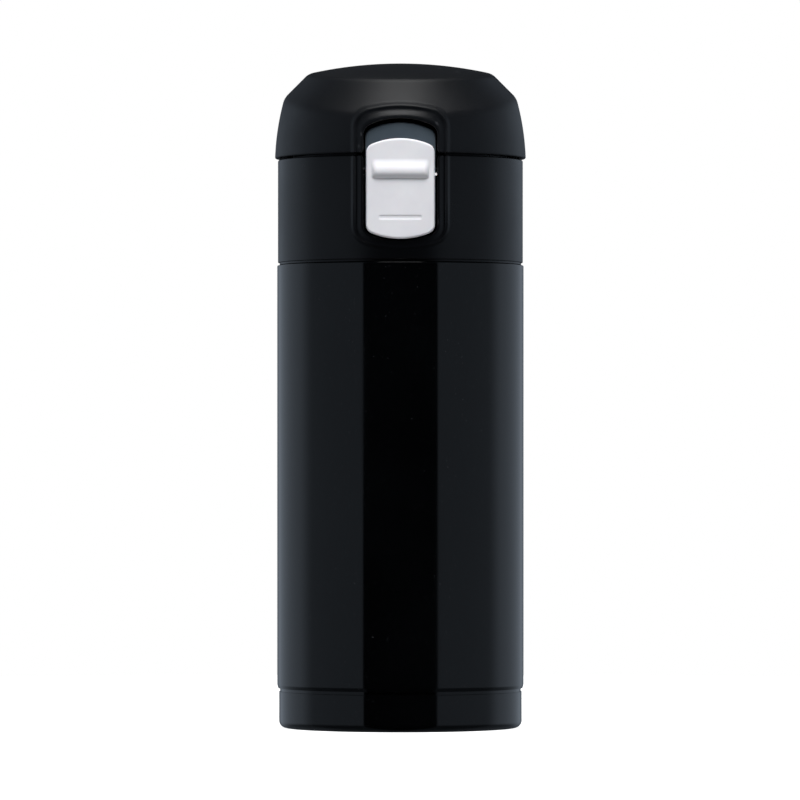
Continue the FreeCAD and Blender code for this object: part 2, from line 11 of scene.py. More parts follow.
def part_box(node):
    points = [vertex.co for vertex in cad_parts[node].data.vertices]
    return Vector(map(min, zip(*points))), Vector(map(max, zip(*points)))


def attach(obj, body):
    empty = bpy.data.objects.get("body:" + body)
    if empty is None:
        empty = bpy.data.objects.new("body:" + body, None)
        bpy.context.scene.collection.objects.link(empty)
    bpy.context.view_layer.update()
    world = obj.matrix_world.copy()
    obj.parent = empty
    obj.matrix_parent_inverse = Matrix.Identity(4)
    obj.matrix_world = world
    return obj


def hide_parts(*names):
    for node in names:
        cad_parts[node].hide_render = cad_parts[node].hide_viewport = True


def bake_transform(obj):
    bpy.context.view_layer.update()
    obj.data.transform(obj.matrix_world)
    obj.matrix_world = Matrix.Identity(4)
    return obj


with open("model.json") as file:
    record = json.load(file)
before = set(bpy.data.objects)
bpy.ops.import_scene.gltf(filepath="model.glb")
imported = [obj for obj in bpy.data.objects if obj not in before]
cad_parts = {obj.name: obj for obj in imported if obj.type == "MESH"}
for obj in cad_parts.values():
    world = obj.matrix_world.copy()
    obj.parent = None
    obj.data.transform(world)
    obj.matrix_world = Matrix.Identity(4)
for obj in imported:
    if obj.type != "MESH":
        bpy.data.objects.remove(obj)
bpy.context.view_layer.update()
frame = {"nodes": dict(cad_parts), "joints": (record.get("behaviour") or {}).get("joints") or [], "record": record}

# A slim vacuum flask with a one-touch flip lid. Shapes are worked out in millimetres, in the frame's
# axes: +Z up, the latch towards -Y and the hinge towards +Y. Angles round the flask start at the
# front and run towards +X.

MM = 0.001


def box_mm(node):
    """A CAD node's lowest and highest corners, in millimetres."""
    low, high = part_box(node)
    return np.array(low) / MM, np.array(high) / MM


def joint_place(name):
    """Where a joint's axis is, in millimetres."""
    found = next(joint for joint in frame["joints"] if joint["name"] == name)
    return np.array(found["pos_m"]) / MM


# --- Sizes, from the frame ----------------------------------------------------------------------

SHELL_LOW, SHELL_HIGH = box_mm("outer_shell")
CUP_HIGH = box_mm("base_cup")[1]
PAD_LOW, PAD_HIGH = box_mm("base_pad")
COLLAR_LOW, COLLAR_HIGH = box_mm("collar")
SLIDE_LOW, SLIDE_HIGH = box_mm("lock_slide")
BUTTON_LOW, BUTTON_HIGH = box_mm("latch_button")
HINGE = joint_place("lid_open")
LATCH_PIN = joint_place("latch_press")

BODY_RADIUS = SHELL_HIGH[0]
BASE_RADIUS = CUP_HIGH[0] + 0.1
BASE_TOP = CUP_HIGH[2] - 2.2
NECK_TOP = SHELL_HIGH[2]
SHELL_TOP = NECK_TOP - 15.1
NECK_RADIUS = 24.0
COLLAR_RADIUS = COLLAR_HIGH[0]
COLLAR_BOTTOM = COLLAR_LOW[2] + 0.5
COLLAR_TOP = HINGE[2] - 0.6
SLEEVE_RADIUS = 27.0
LID_BOTTOM = HINGE[2] - 0.1
KNUCKLE_RADIUS = COLLAR_HIGH[1] - HINGE[1]
COLLAR_KNUCKLE = (7.7, 11.5)
LID_KNUCKLE = (3.6, 7.4)
SPRING_LENGTH = 5.25
PLASTIC = 2.0
EDGE_ROUND = 0.35

# The lid's wall bows in from the collar's width; its crown is a shallow dome with a wide bevel
WALL_BOW = 67.0
WALL_CENTRE = COLLAR_TOP - 1.7
WALL_RADIUS = 33.12
DOME_RADIUS = 110.0
DOME_TOP = COLLAR_TOP + 25.52
BEVEL_REACH = COLLAR_TOP + 47.15
CROWN_TIP = math.radians(6.75)
CROWN_PIVOT = COLLAR_TOP + 21.4
CREASE_ROUNDING = 0.5

# The recess round the latch and the outside of its frame: half width, tip drop, tip rise, bow,
# corner rounding. The drop is below the collar's seam and the rise is above it.
RECESS = dict(half_width=9.6, drop=22.4, rise=9.4, bow=20.3, rounding=3.0)
FRAME = dict(half_width=13.2, drop=24.8, rise=14.3, bow=40.0, rounding=5.8)
FRAME_WIDTH = FRAME["half_width"] - RECESS["half_width"]
FRAME_HEIGHT = 0.6

# The latch: a lever bent to the flask's curve, and a lock whose stem slides up a slot in it
PLATE_BOW = 19.8
PLATE_CORNER = 2.4
LOCK_FRONT = 33.0
LOCK_BACK = 31.5
LEVER_FRONT = 31.35
LEVER_BACK = 29.85
STEM_LOW = SLIDE_LOW[2] + 6.7
STEM_SIZE = 3.0
STEM_HALF = 1.55
LOCK_TRAVEL = 4.0

# --- Mesh tools ---------------------------------------------------------------------------------


def unit(vectors):
    """Vectors brought to a length of 1."""
    return vectors / np.maximum(np.linalg.norm(vectors, axis=-1, keepdims=True), 1e-9)


def rounded(corners, closed=True, steps=5):
    """Points through (a, b) or (a, b, rounding) corners, with an arc at each rounded one."""
    points = []
    for i, corner in enumerate(corners):
        here = np.array(corner[:2], float)
        if len(corner) < 3:
            points.append(here)
            continue
        before = unit(np.array(corners[i - 1][:2], float) - here)
        after = unit(np.array(corners[(i + 1) % len(corners)][:2], float) - here)
        half_angle = math.acos(np.clip(before @ after, -1, 1)) / 2
        centre = here + unit(before + after) * corner[2] / math.sin(half_angle)
        start = here + before * corner[2] / math.tan(half_angle) - centre
        end = here + after * corner[2] / math.tan(half_angle) - centre
        turn = math.atan2(start[0] * end[1] - start[1] * end[0], start @ end)
        for share in np.linspace(0, 1, steps + 1):
            c, s = math.cos(turn * share), math.sin(turn * share)
            points.append(centre + (c * start[0] - s * start[1], s * start[0] + c * start[1]))
    return np.array(points + points[:1] if closed else points)


def supported(points, near=0.25):
    """Points with one more close to each end of every long run, so that flats are shaded flat."""
    found = [points[0]]
    for start, end in zip(points, points[1:]):
        length = np.linalg.norm(end - start)
        if length > 4 * near:
            step = (end - start) * near / length
            found += [start + step, end - step]
        found.append(end)
    return np.array(found)


def around(radius, angle):
    """(x, y) at an angle round the flask."""
    return radius * np.sin(angle), -radius * np.cos(angle)


def turned(profile, angle):
    """A grid of (radius, height) points carried to angles round the flask."""
    radius, height = profile[:, :1], profile[:, 1:]
    x, y = around(radius, angle[None, :])
    return np.stack([x, y, height + 0 * x], axis=-1)


def lathe(profile):
    """A grid of (radius, height) points turned all the way round the flask."""
    return turned(supported(profile), np.linspace(0, 2 * math.pi, 257))


def on_cylinder(radius, x, z):
    """Points seen at (x, z) from the front, at a radius from the flask's axis."""
    return np.stack([x, -np.sqrt(radius ** 2 - x ** 2), z + 0 * x], axis=-1)


def rows_between(start, end, count):
    """Rows spread evenly from one row of points to another."""
    return start + (end - start) * np.linspace(0, 1, count)[:, None, None]


def smooth(share):
    """A share from nought to 1, eased at both ends."""
    share = np.clip(share, 0, 1)
    return share * share * (3 - 2 * share)


def shade(mesh, sharp=40):
    """Shades a mesh smooth between edges sharper than an angle in degrees."""
    mesh.shade_smooth()
    mesh.set_sharp_from_angle(angle=math.radians(sharp))


def put(name, data):
    """A new object in the scene."""
    made = bpy.data.objects.new(name, data)
    bpy.context.scene.collection.objects.link(made)
    return made


def make_piece(name, grids, caps=(), sharp=40):
    """A smooth mesh object from point grids and flat caps, in millimetres, joined where they meet."""
    verts, faces = [], []
    for grid in grids:
        rows, columns = grid.shape[:2]
        first = len(verts)
        verts.extend(grid.reshape(-1, 3))
        for r in range(rows - 1):
            for c in range(columns - 1):
                a = first + r * columns + c
                faces.append((a, a + 1, a + columns + 1, a + columns))
    for loops in caps:
        first = len(verts)
        verts.extend(np.concatenate(loops))
        for triangle in tessellate_polygon([[Vector(p) for p in loop] for loop in loops]):
            faces.append([first + k for k in triangle])
    work = bmesh.new()
    made = [work.verts.new(Vector(p) * MM) for p in verts]
    for face in faces:
        work.faces.new([made[k] for k in face])
    bmesh.ops.remove_doubles(work, verts=work.verts, dist=1e-6)
    bmesh.ops.dissolve_degenerate(work, edges=work.edges, dist=1e-7)
    bmesh.ops.recalc_face_normals(work, faces=work.faces)
    mesh = bpy.data.meshes.new(name)
    work.to_mesh(mesh)
    work.free()
    shade(mesh, sharp)
    return put(name, mesh)


def dress(piece, node, surface=None):
    """Gives a piece the material that goes with the CAD node's slot."""
    piece.data.materials.clear()
    piece.data.materials.append(SURFACES[surface or SLOTS[node]])


def place(piece, body, node):
    """Dresses a piece, lets it stand in for a CAD node, and rides it on the node's body."""
    dress(piece, node)
    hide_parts(node)
    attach(piece, body)


def add_on(piece, body, node, surface=None):
    """Dresses a piece that goes with one in a CAD node's place, and rides it."""
    dress(piece, node, surface)
    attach(piece, body)


def carve(piece, cutters):
    """Cuts other objects out of a piece and removes them."""
    for cutter in cutters:
        cut = piece.modifiers.new("cut", "BOOLEAN")
        cut.operation = "DIFFERENCE"
        cut.solver = "EXACT"
        cut.object = cutter
    bake_modifiers(piece)
    for cutter in cutters:
        bpy.data.objects.remove(cutter)


def bake_modifiers(piece):
    """Replaces a piece's mesh by the mesh that its modifiers make."""
    view = bpy.context.evaluated_depsgraph_get()
    mesh = bpy.data.meshes.new_from_object(piece.evaluated_get(view), depsgraph=view)
    piece.modifiers.clear()
    piece.data = mesh
    shade(mesh)


def soften(piece, width=0.3, segments=3):
    """Rounds a piece's sharp edges."""
    bevel = piece.modifiers.new("soften", "BEVEL")
    bevel.width = width * MM
    bevel.segments = segments
    bevel.limit_method = "ANGLE"
    bevel.angle_limit = math.radians(35)
    bake_modifiers(piece)
    return piece


def side_prism(name, outline, x_from, x_to):
    """A flat plate of (y, z) outline between two places across the flask."""
    ends = [np.array([(x, y, z) for y, z in outline]) for x in (x_from, x_to)]
    wall = np.stack([np.vstack([end, end[:1]]) for end in ends])
    return make_piece(name, [wall], [[ends[0]], [ends[1]]], sharp=30)


def rectangle(y_from, y_to, z_from, z_to):
    """A rectangle in the side view."""
    return np.array([(y_from, z_from), (y_to, z_from), (y_to, z_to), (y_from, z_to)])


def bar_across(name, radius, half_length, centre):
    """A round bar parallel to X, about a (y, z) centre."""
    turn = np.linspace(0, 2 * math.pi, 49)[:-1]
    circle = np.stack([centre[0] + radius * np.cos(turn), centre[1] + radius * np.sin(turn)], axis=-1)
    return side_prism(name, circle, -half_length, half_length)


def join(name, pieces):
    """One object from several, each kept as its own closed form."""
    work = bmesh.new()
    for piece in pieces:
        work.from_mesh(piece.data)
        bpy.data.objects.remove(piece)
    mesh = bpy.data.meshes.new(name)
    work.to_mesh(mesh)
    work.free()
    shade(mesh)
    return put(name, mesh)


# --- Surfaces given by their distance, in millimetres -------------------------------------------


def round_max(a, b, rounding):
    """The overlap of two solids, each given as a distance, with a rounded edge."""
    corner = np.hypot(np.maximum(a + rounding, 0), np.maximum(b + rounding, 0)) - rounding
    return np.where((a > -rounding) & (b > -rounding), corner, np.maximum(a, b))


def lid_distance(x, y, z, grow=0.0):
    """How far a point is outside the lid's form."""
    radius = np.hypot(x, y)
    wall = np.hypot(radius - WALL_RADIUS + WALL_BOW, z - WALL_CENTRE) - WALL_BOW
    c, s = math.cos(CROWN_TIP), math.sin(CROWN_TIP)
    crown_y = y * c + (z - CROWN_PIVOT) * s
    crown_z = (z - CROWN_PIVOT) * c - y * s + CROWN_PIVOT
    crown_radius = np.hypot(x, crown_y)
    dome = np.hypot(crown_radius, crown_z - DOME_TOP + DOME_RADIUS) - DOME_RADIUS
    bevel = (crown_radius + crown_z - BEVEL_REACH) / math.sqrt(2)
    crown = round_max(dome, bevel, CREASE_ROUNDING)
    return round_max(wall, crown, 0.45) - grow


def collar_distance(x, y, z):
    """How far a point is outside the collar's wall, which is straight up and down."""
    return np.hypot(x, y) - COLLAR_RADIUS


def solve(distance, inside, outside, steps=44):
    """The points between inside and outside ends where a distance is nought, by halving."""
    low = np.zeros(inside.shape[:-1])
    high = np.ones(inside.shape[:-1])
    for _ in range(steps):
        middle = (low + high) / 2
        point = inside + (outside - inside) * middle[..., None]
        beyond = distance(point[..., 0], point[..., 1], point[..., 2]) > 0
        high = np.where(beyond, middle, high)
        low = np.where(beyond, low, middle)
    return inside + (outside - inside) * high[..., None]


def on_front(distance, x, z, lift):
    """Points of a surface seen at (x, z) from the front, lifted off it by a distance."""
    inside = np.stack([x, 0 * x - 20, z], axis=-1)
    outside = np.stack([x, 0 * x - 45, z], axis=-1)
    return solve(lambda px, py, pz: distance(px, py, pz) - lift, inside, outside)


def on_side(distance, angle, z):
    """Points of a surface at a height, at angles round the flask."""
    x, y = around(1.0, angle)
    inside = np.stack([x * 5, y * 5, z], axis=-1)
    outside = np.stack([x * 45, y * 45, z], axis=-1)
    return solve(distance, inside, outside)


# --- The recess and its frame, in the collar and in the lid -------------------------------------


def blend_outline(share):
    """The outline a share of the way from the recess's edge to the frame's outside."""
    return {key: RECESS[key] + (FRAME[key] - RECESS[key]) * share for key in RECESS}


def half_outline(outline, up, seam, shares, flare=0.0):
    """(x, z) down the right half of an outline, from the seam to its tip, at shares of its length."""
    direction = 1 if up else -1
    tip = COLLAR_TOP + (outline["rise"] if up else -outline["drop"])
    bow, rounding = outline["bow"], outline["rounding"]
    inset = outline["half_width"] - rounding
    rise = math.sqrt((bow - rounding) ** 2 - inset ** 2)
    centre_z = tip - direction * (bow - rise)
    shoulder = math.atan2(rise, inset)
    side = np.linspace(seam, centre_z, 60)[:-1]
    corner = np.linspace(0, shoulder, 60)
    bend = np.linspace(math.pi / 2 - shoulder, 0, 60)[1:]
    x = np.concatenate([
        0 * side + outline["half_width"],
        inset + rounding * np.cos(corner),
        bow * np.sin(bend),
    ])
    z = np.concatenate([
        side,
        centre_z + direction * rounding * np.sin(corner),
        tip - direction * bow + direction * bow * np.cos(bend),
    ])
    if flare:
        near = np.clip(1 - np.abs(z - seam) / flare, 0, 1)
        x = x + flare * (1 - np.sqrt(1 - near ** 2)) * 0.8
    length = np.concatenate([[0], np.cumsum(np.hypot(np.diff(x), np.diff(z)))])
    want = shares * length[-1]
    return np.interp(want, length, x), np.interp(want, length, z)


def ridge(distance_out):
    """The frame's double ridge: a low inner lip, a valley and a broader outer ridge."""
    inner = np.exp(-((distance_out - 0.55) / 0.5) ** 2) * 0.6
    outer = np.exp(-((distance_out - 2.55) / 0.5) ** 2)
    return FRAME_HEIGHT * np.maximum(inner, outer) * smooth((FRAME_WIDTH - distance_out) / 0.4)


class FramedFront:
    """The front of the collar or of the lid: rows of points from the recess's edge outwards."""

    HALF = 52
    LIP = 0.3
    EDGE_ANGLE = math.asin(15.5 / BODY_RADIUS)

    def __init__(self, distance, up, seam, edge, side_count):
        self.distance, self.up, self.seam = distance, up, seam
        self.side_count = side_count
        self.shares = np.linspace(0, 1, self.HALF + 1)
        self.edge_heights = np.linspace(seam, edge, side_count + 1)
        self.border = self.border_points(edge)

    def border_points(self, edge):
        """The right half of the patch's outer border: down its side, then along to the middle."""
        down = np.full(self.side_count, self.EDGE_ANGLE)
        along = np.linspace(self.EDGE_ANGLE, 0, self.HALF - self.side_count + 1)
        points = on_side(
            self.distance,
            np.concatenate([down, along]),
            np.concatenate([self.edge_heights, np.full(len(along) - 1, edge)]),
        )
        return points[:, 0], points[:, 2]

    def mirror(self, rows):
        """Whole rows, from their right halves."""
        points = np.array(rows)
        left = points[..., :-1, :][..., ::-1, :] * np.array([-1, 1, 1])
        return np.concatenate([points, left], axis=-2)

    def row(self, share, lift):
        """The right half of a row, a share of the way over the frame, lifted off the wall."""
        flare = 0.4 * (1 - share) ** 2
        x, z = half_outline(blend_outline(share), self.up, self.seam, self.shares, flare)
        fade = 1 if self.up else 1 - 0.85 * np.clip(self.shares * 2 - 0.7, 0, 1) ** 1.5
        return on_front(self.distance, x, z, lift * fade)

    def outside(self):
        """Rows from the rounded lip, over the frame's ridges, out to the border."""
        rows = []
        for turn in np.radians(np.linspace(90, 0, 6)):
            out = self.LIP * (1 - math.sin(turn))
            drop = self.LIP * (1 - math.cos(turn))
            rows.append(self.row(out / FRAME_WIDTH, float(ridge(self.LIP)) - drop))
        for out in np.linspace(self.LIP, FRAME_WIDTH, 22)[1:]:
            rows.append(self.row(out / FRAME_WIDTH, float(ridge(out))))
        rows += self.to_border(rows[-1], np.linspace(0, 1, 9)[1:])
        return self.mirror(rows)

    def to_border(self, start, shares):
        """Rows at shares of the way over the wall, from a row on it to the border."""
        rows = []
        for share in shares:
            x = start[:, 0] + (self.border[0] - start[:, 0]) * share
            z = start[:, 2] + (self.border[1] - start[:, 2]) * share
            rows.append(on_front(self.distance, x, z, 0.0))
        return rows

    def rest(self):
        """The rest of the wall, round from the patch's right border to its left one."""
        angle = np.linspace(self.EDGE_ANGLE, 2 * math.pi - self.EDGE_ANGLE, 151)
        return on_side(self.distance, *np.meshgrid(angle, self.edge_heights))

    def end_row(self, patch):
        """The part of a patch's last row that runs along its end, between its two sides."""
        return patch[-1, self.side_count: 2 * self.HALF - self.side_count + 1]


def offset_loop(loop, distance):
    """A closed flat loop moved inwards, to the left of its run."""
    ring = loop[:-1, :2]
    along = unit(np.roll(ring, -1, axis=0) - ring)
    left = np.stack([-along[:, 1], along[:, 0]], axis=-1)
    moved = ring + unit(left + np.roll(left, 1, axis=0)) * distance
    flat = np.column_stack([moved, loop[:-1, 2]])
    return np.vstack([flat, flat[:1]])


def rounded_rim(loop, radius, direction, steps=4):
    """Rows that round a wall's edge over, from a closed loop on the wall to a flat loop."""
    rows = []
    for turn in np.radians(np.linspace(0, 90, steps + 1)):
        row = offset_loop(loop, radius * (1 - math.cos(turn)))
        row[:, 2] += direction * radius * math.sin(turn)
        rows.append(row)
    return np.array(rows)


# --- The bottle ---------------------------------------------------------------------------------


def helical_ridge(name, root, crest, start, turns, pitch=4.0):
    """A rolled screw thread's ridge, fading out at both ends."""
    count = int(turns * 72)
    share = np.linspace(0, 1, count + 1)
    angle = share * turns * 2 * math.pi + math.pi / 2
    fade = np.clip(np.minimum(share, 1 - share) * turns * 4, 0, 1)[:, None]
    across = np.linspace(-1, 1, 9)[None, :]
    height = root + (crest - root) * np.cos(across * math.pi / 2) ** 0.8 * fade
    z = start + share[:, None] * turns * pitch + across * 0.9
    x, y = around(height, angle[:, None])
    skin = np.stack([x, y, z], axis=-1)
    x, y = around(root - 0.3 + 0 * height, angle[:, None])
    back = np.stack([x, y, z], axis=-1)
    edges = [np.stack([skin[:, k], back[:, k]], axis=1) for k in (0, -1)]
    ends = [np.stack([skin[k], back[k]]) for k in (0, -1)]
    return make_piece(name, [skin, back] + edges + ends)


def build_outer_shell():
    """The enamelled body, with the bare threaded neck that the cap unit hides."""
    bottom = SHELL_LOW[2]
    outside = rounded([
        (BODY_RADIUS - 0.5, bottom),
        (BODY_RADIUS - 0.28, bottom),
        (BODY_RADIUS, bottom + 0.9, 1.6),
        (BODY_RADIUS, SHELL_TOP, 0.25),
        (NECK_RADIUS + 2.0, SHELL_TOP, 0.8),
        (NECK_RADIUS, SHELL_TOP + 1.5, 0.8),
        (NECK_RADIUS, NECK_TOP),
        (NECK_RADIUS - 0.5, NECK_TOP),
        (NECK_RADIUS - 0.5, SHELL_TOP + 1.0, 0.8),
        (NECK_RADIUS + 1.8, SHELL_TOP - 0.5, 0.8),
        (BODY_RADIUS - 0.5, SHELL_TOP - 0.5, 0.4),
    ])
    shell = make_piece("flask_body", [lathe(outside)])
    thread = helical_ridge("neck_thread", NECK_RADIUS - 0.05, NECK_RADIUS + 0.8, NECK_TOP - 11, 1.5)
    add_on(thread, "bottle", "outer_shell", "neck_steel")
    place(shell, "bottle", "outer_shell")


def build_base_cup():
    """The cup that closes the foot, hollowed below for the pad."""
    wall = 0.8
    low = PAD_LOW[2] + 0.03
    recess = PAD_HIGH[0] + 0.1
    profile = rounded([
        (0, PAD_HIGH[2]),
        (recess, PAD_HIGH[2]),
        (recess, low, 0.2),
        (BASE_RADIUS, low, 1.9),
        (BASE_RADIUS, BASE_TOP, 0.15),
        (BASE_RADIUS - 0.25, BASE_TOP),
        (BASE_RADIUS - 0.25, CUP_HIGH[2]),
        (BASE_RADIUS - wall, CUP_HIGH[2]),
        (BASE_RADIUS - wall, PAD_HIGH[2] + wall, 1.5),
        (0, PAD_HIGH[2] + wall),
    ], closed=False, steps=8)
    cup = make_piece("base_cup_shell", [lathe(profile)])
    place(cup, "bottle", "base_cup")


# --- The cap unit -------------------------------------------------------------------------------


def seam_loop(pieces):
    """A closed loop from runs of points that meet end to end, where each point is kept once."""
    points = np.concatenate(pieces)
    step = np.linalg.norm(np.roll(points, -1, axis=0) - points, axis=1)
    loop = points[step > 1e-4]
    return np.vstack([loop, loop[:1]])


def build_collar():
    """The cap unit's wall, with the latch's recess, the bores and the hinge's knuckles."""
    seam = COLLAR_TOP - EDGE_ROUND
    foot = COLLAR_BOTTOM + 0.4
    front = FramedFront(collar_distance, False, seam, foot, 34)
    outside = front.outside()
    rest = front.rest()

    lip = outside[0]
    floor_radius = SLEEVE_RADIUS + 0.05
    recess_wall = rows_between(lip, on_cylinder(floor_radius, lip[:, 0], lip[:, 2]), 6)
    half = recess_wall[-1][: front.HALF + 1]
    recess_floor = on_cylinder(floor_radius, half[:, :1] * np.linspace(1, -1, 19), half[:, 2:])

    top = seam_loop([
        outside[:, 0],
        rest[0],
        outside[::-1, -1],
        recess_wall[:, -1],
        recess_floor[0][::-1],
        recess_wall[::-1, 0],
    ])
    rim = rounded_rim(top, EDGE_ROUND, 1)

    # Under the wall: the step that meets the shell, the bore round the neck and the spout's bore
    bottom = seam_loop([rest[-1], front.end_row(outside)[::-1]])
    angle = np.unwrap(np.arctan2(bottom[:, 0], -bottom[:, 1]))
    step, low = COLLAR_RADIUS - 0.45, COLLAR_LOW[2]
    neck_bore, neck_room = NECK_RADIUS + 1.05, NECK_TOP + 4.3
    under = rounded([
        (COLLAR_RADIUS, foot),
        (COLLAR_RADIUS, COLLAR_BOTTOM, 0.2),
        (step, COLLAR_BOTTOM),
        (step, low),
        (COLLAR_RADIUS - PLASTIC, low),
        (COLLAR_RADIUS - PLASTIC, low + 2.5),
        (SLEEVE_RADIUS, low + 2.5),
        (SLEEVE_RADIUS, low + 1.9),
        (neck_bore, low + 1.9),
        (neck_bore, neck_room),
        (NECK_RADIUS, neck_room),
        (NECK_RADIUS, COLLAR_TOP, 0.3),
        (NECK_RADIUS + 0.4, COLLAR_TOP),
    ], closed=False)
    underside = turned(under, angle)
    deck_hole = underside[-1][:-1]
    collar = make_piece(
        "collar_body",
        [outside, rest, recess_wall, recess_floor, rim, underside],
        [[rim[-1][:-1], deck_hole]],
    )
    carve(collar, hinge_cutters(-1, COLLAR_TOP))
    place(collar, "cap", "collar")
    build_collar_ring()
    inner, web_low = HINGE[1] - 4.5, COLLAR_TOP - 7.6
    web = [(inner + 0.8, web_low), (inner, web_low), (inner, COLLAR_TOP - 0.6)]
    lugs = hinge_lugs("collar_hinge_lugs", COLLAR_KNUCKLE, web, -1)
    add_on(lugs, "cap", "collar")


def build_collar_ring():
    """The ring that stands up inside the lid, open at the front for the latch's catch."""
    outer, inner = SLEEVE_RADIUS + 1.5, SLEEVE_RADIUS
    gap = math.asin(10.8 / inner)
    section = supported(rounded([
        (outer, COLLAR_TOP - 0.2),
        (outer, COLLAR_HIGH[2], 0.5),
        (inner, COLLAR_HIGH[2], 0.3),
        (inner, COLLAR_TOP - 0.2),
    ]))
    angle = np.linspace(gap, 2 * math.pi - gap, 140)
    skin = turned(section, angle)
    ring = make_piece("collar_ring", [skin], [[skin[:-1, 0]], [skin[:-1, -1]]])
    add_on(ring, "cap", "collar")


def hinge_cutters(side, edge):
    """What is cut from a wall at the hinge: room for the knuckles, and a slot for a spring's leg."""
    room = bar_across("room", KNUCKLE_RADIUS + 0.4, COLLAR_KNUCKLE[1] + 0.3, HINGE[1:])
    middle = side * SPRING_LENGTH / 2
    deep, shallow = edge + side * 5.4, edge - side
    outline = rectangle(HINGE[1] - 2.1, HINGE[1] + 1, deep, shallow)
    slot = side_prism("slot", outline, middle - 0.5, middle + 0.5)
    return [room, slot]


def hinge_lugs(name, x_range, web, up):
    """A pair of knuckles, each with the web that joins it to a wall above (+1) or below (-1)."""
    centre = HINGE[1:]
    towards = np.array(web[0]) - centre
    spread = math.acos(KNUCKLE_RADIUS / np.linalg.norm(towards))
    tangent = math.atan2(towards[1], towards[0]) - up * spread
    turn = np.linspace(tangent, -up * math.radians(202), 26)[:, None]
    knuckle = centre + KNUCKLE_RADIUS * np.hstack([np.cos(turn), np.sin(turn)])
    outline = np.vstack([knuckle, web[::-1]])
    near, far = x_range
    lugs = [side_prism("lug", outline, near, far), side_prism("lug", outline, -far, -near)]
    return join(name, [soften(lug, 0.35) for lug in lugs])


# --- The lid ------------------------------------------------------------------------------------


def lid_inner_distance(x, y, z):
    """How far a point is outside the lid's inner face."""
    return lid_distance(x, y, z, -PLASTIC)


def build_crown(front, patch, wall, row_count):
    """Rows up a surface from the top of its wall to its middle."""
    ring = seam_loop([wall[-1], front.end_row(patch)[::-1]])
    centre = np.array([0, 0, COLLAR_TOP - 10])
    radius = np.hypot(ring[:, 0], ring[:, 1])
    start_rise = np.arctan2(ring[:, 2] - centre[2], radius)
    rise = start_rise + (math.pi / 2 - start_rise) * np.linspace(0, 1, row_count)[:, None]
    towards = np.stack([
        np.cos(rise) * ring[:, 0] / radius,
        np.cos(rise) * ring[:, 1] / radius,
        np.sin(rise),
    ], axis=-1)
    grid = solve(front.distance, centre + towards * 15, centre + towards * 60)
    grid[0] = ring
    return grid


def build_lid():
    """The domed lid, hollow, with its half of the frame and the hinge's knuckles."""
    seam = LID_BOTTOM + EDGE_ROUND
    top_edge = COLLAR_TOP + 17.2
    front = FramedFront(lid_distance, True, seam, top_edge, 28)
    outside = front.outside()
    rest = front.rest()

    inner_front = FramedFront(lid_inner_distance, True, seam, top_edge, 28)
    lip = outside[0, :front.HALF + 1]
    start = on_front(lid_inner_distance, lip[:, 0], lip[:, 2], 0.0)
    inside = inner_front.mirror(inner_front.to_border(start, np.linspace(0, 1, 7)))
    inside_rest = inner_front.rest()
    notch = rows_between(outside[0], inside[0], 4)

    crown_out = build_crown(front, outside, rest, 120)
    crown_in = build_crown(inner_front, inside, inside_rest, 24)
    bottom = seam_loop([
        outside[:, 0],
        rest[0],
        outside[::-1, -1],
        notch[:, -1],
        inside[:, -1],
        inside_rest[0][::-1],
        inside[::-1, 0],
        notch[::-1, 0],
    ])
    rim = rounded_rim(bottom, EDGE_ROUND, -1)
    lid = make_piece(
        "lid_cover",
        [outside, rest, inside, inside_rest, notch, crown_out, crown_in, rim],
        [[rim[-1][:-1]]],
    )
    carve(lid, hinge_cutters(1, LID_BOTTOM))
    place(lid, "lid", "lid_shell")
    inner, web_high = HINGE[1] - 2.9, LID_BOTTOM + 8.1
    web = [(inner + 0.4, web_high), (inner, web_high), (inner, LID_BOTTOM + 0.3)]
    lugs = hinge_lugs("lid_hinge_lugs", LID_KNUCKLE, web, 1)
    add_on(lugs, "lid", "lid_shell")


# --- Materials ----------------------------------------------------------------------------------

SLOTS = {row["node"]: row["material_slot"] for row in frame["record"]["subparts"]}


class Nodes:
    """A short way to lay out the nodes of a material or of the world."""

    def __init__(self, owner):
        owner.use_nodes = True
        self.tree = owner.node_tree

    def add(self, kind, **values):
        """A new node, with its settings."""
        node = self.tree.nodes.new(kind)
        for key, value in values.items():
            setattr(node, key, value)
        return node

    def link(self, out, into):
        """Joins an output to an input."""
        self.tree.links.new(out, into)

    def ramp(self, value, low, high, from_low=0.35, from_high=0.65):
        """A value carried from one range to another."""
        node = self.add("ShaderNodeMapRange")
        for socket, limit in zip(node.inputs[1:5], (from_low, from_high, low, high)):
            socket.default_value = limit
        self.link(value, node.inputs["Value"])
        return node.outputs["Result"]

    def mix(self, share, first, second):
        """A colour between two, each a tuple or a socket."""
        node = self.add("ShaderNodeMix", data_type="RGBA")
        self.link(share, node.inputs["Factor"])
        for socket, colour in ((node.inputs[6], first), (node.inputs[7], second)):
            if isinstance(colour, tuple):
                socket.default_value = (*colour, 1)
            else:
                self.link(colour, socket)
        return node.outputs[2]


